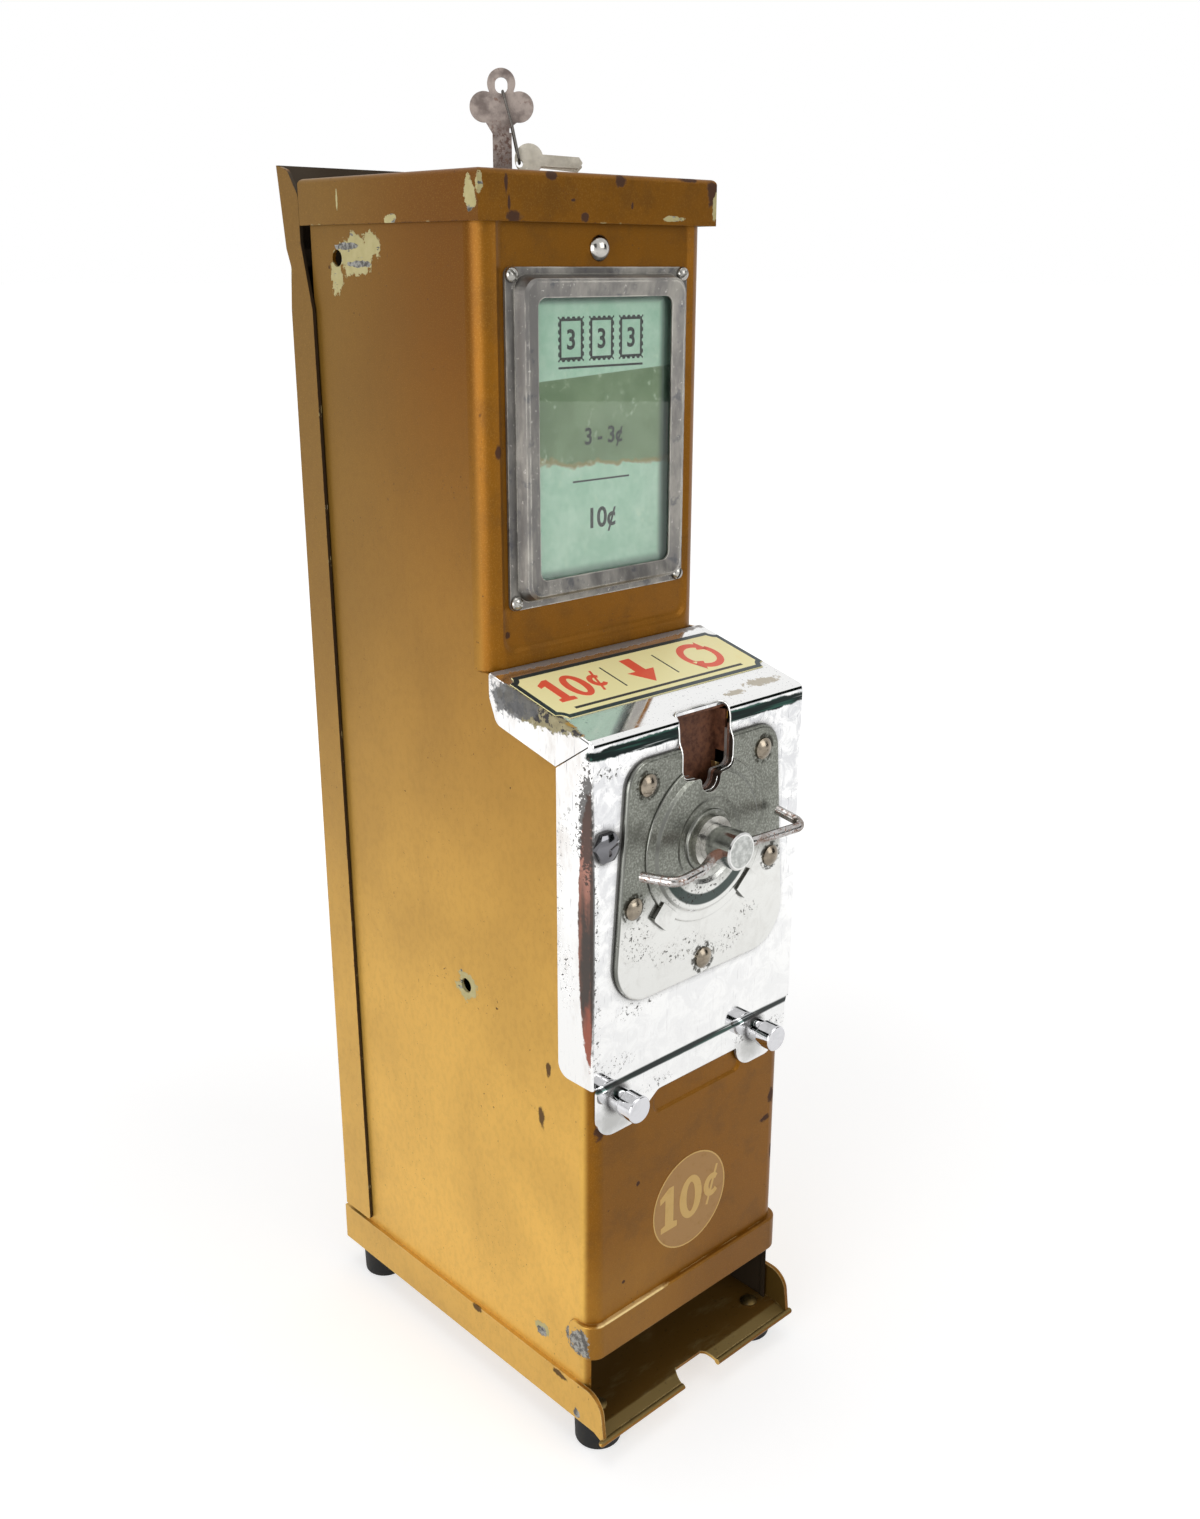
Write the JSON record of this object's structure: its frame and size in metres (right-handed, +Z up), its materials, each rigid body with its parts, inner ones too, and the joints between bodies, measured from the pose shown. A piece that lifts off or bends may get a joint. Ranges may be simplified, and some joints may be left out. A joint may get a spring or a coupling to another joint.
{
  "type": "stamp vending machine",
  "caption": "Counter-top coin machine for stamp folders: tall painted steel case, chromed coin cover with turning handle, glazed card window, delivery tray and top-locked rear door.",
  "frame": {"origin": "on the counter, under the middle of the machine's bounding box", "axes": "+Z up, +Y from the front to the rear, +X to the right as a buyer sees it"},
  "size_m": [0.1066, 0.1803, 0.4748],
  "materials": {
    "gold_enamel": "satin",
    "tray_enamel": "worn satin",
    "cover_chrome": "polished",
    "stud_chrome": "polished",
    "handle_chrome": "polished",
    "cast_nickel": "worn",
    "bush_steel": "satin",
    "rivet_brass": "satin",
    "bezel_steel": "satin",
    "zinc_steel": "satin",
    "slot_steel": "rusty",
    "wheel_brass": "satin",
    "ratchet_steel": "satin",
    "follower_steel": "satin",
    "cash_steel": "satin",
    "lock_nickel": "worn",
    "plug_brass": "satin",
    "key_rust": "rusty",
    "wire_dark": "satin",
    "spare_nickel": "satin",
    "label_paper": "matte",
    "card_board": "matte",
    "foot_rubber": "matte",
    "window_glass": "clear"
  },
  "bodies": {
    "case": {"case_shell": "gold_enamel", "top_cap": "gold_enamel", "front_rail": "gold_enamel", "base_tray": "tray_enamel", "cap_bracket": "zinc_steel", "coin_cover": "cover_chrome", "cover_studs": "stud_chrome", "side_bolt": "stud_chrome", "cap_screw": "stud_chrome", "face_plate": "cast_nickel", "face_rivets": "rivet_brass", "slope_label": "label_paper", "window_bezel": "bezel_steel", "window_glass": "window_glass", "price_card": "card_board", "bezel_screws": "bezel_steel", "foot_screws": "zinc_steel", "shaft_bush_front": "bush_steel", "shaft_bush_rear": "bush_steel", "mechanism_frame": "zinc_steel", "coin_cup": "slot_steel", "pawl_pin": "ratchet_steel", "folder_shelf": "zinc_steel", "magazine": "zinc_steel", "folder_chute": "zinc_steel", "coin_chute": "zinc_steel", "cash_box": "cash_steel", "lock_body": "lock_nickel", "lock_nut": "lock_nickel", "foot_front_left": "foot_rubber", "foot_front_right": "foot_rubber", "foot_rear_left": "foot_rubber", "foot_rear_right": "foot_rubber"},
    "door": {"rear_door": "gold_enamel", "door_hook": "zinc_steel"},
    "handle": {"handle_shaft": "handle_chrome", "handle_rod": "handle_chrome", "coin_wheel": "wheel_brass", "drive_pinion": "wheel_brass", "ratchet_wheel": "ratchet_steel"},
    "ejector": {"ejector_rack": "wheel_brass", "ejector_blade": "zinc_steel"},
    "pawl": {"ratchet_pawl": "ratchet_steel"},
    "follower": {"follower_weight": "follower_steel"},
    "plug": {"lock_plug": "plug_brass", "lock_cam": "zinc_steel"},
    "key": {"main_key": "key_rust"},
    "loop": {"wire_loop": "wire_dark"},
    "spare_front": {"spare_key_front": "spare_nickel"},
    "spare_rear": {"spare_key_rear": "spare_nickel"}
  },
  "joints": [
    {"name": "handle_turn", "type": "hinge", "parent": "case", "child": "handle", "pos_m": [0, -0.06775, 0.229], "axis": [0, 1, 0], "range_deg": [0, 120]},
    {"name": "ejector_slide", "type": "slide", "parent": "case", "child": "ejector", "axis": [1, 0, 0], "range_m": [0, 0.038]},
    {"name": "pawl_lift", "type": "hinge", "parent": "case", "child": "pawl", "pos_m": [0.027, -0.03975, 0.239], "axis": [0, -1, 0], "range_deg": [0, 12], "stiffness_Nm_per_rad": 0.02},
    {"name": "follower_lift", "type": "slide", "parent": "case", "child": "follower", "axis": [0, 0, 1], "range_m": [0, 0.13]},
    {"name": "door_tilt", "type": "hinge", "parent": "case", "child": "door", "pos_m": [0, 0.08545, 0.0292], "axis": [-1, 0, 0], "range_deg": [0, 20]},
    {"name": "lock_turn", "type": "hinge", "parent": "case", "child": "plug", "pos_m": [0, 0.03125, 0.439], "axis": [0, 0, 1], "range_deg": [0, 90]},
    {"name": "key_draw", "type": "slide", "parent": "plug", "child": "key", "axis": [0, 0, 1], "range_m": [0, 0.02]},
    {"name": "loop_swing", "type": "hinge", "parent": "key", "child": "loop", "pos_m": [0.00031, 0.031, 0.4676], "axis": [-0.6225, -0.7826, 0], "range_deg": [0, 40]},
    {"name": "spare_front_swing", "type": "hinge", "parent": "loop", "child": "spare_front", "pos_m": [0.00446, 0.0277, 0.4454], "axis": [-0.6225, -0.7826, 0], "range_deg": [0, 20]},
    {"name": "spare_rear_swing", "type": "hinge", "parent": "loop", "child": "spare_rear", "pos_m": [0.00446, 0.0277, 0.4454], "axis": [-0.6225, -0.7826, 0], "range_deg": [0, 25]}
  ],
  "couplings": [
    {"joint": "ejector_slide", "follows": "handle_turn", "m_per_rad": 0.018}
  ]
}
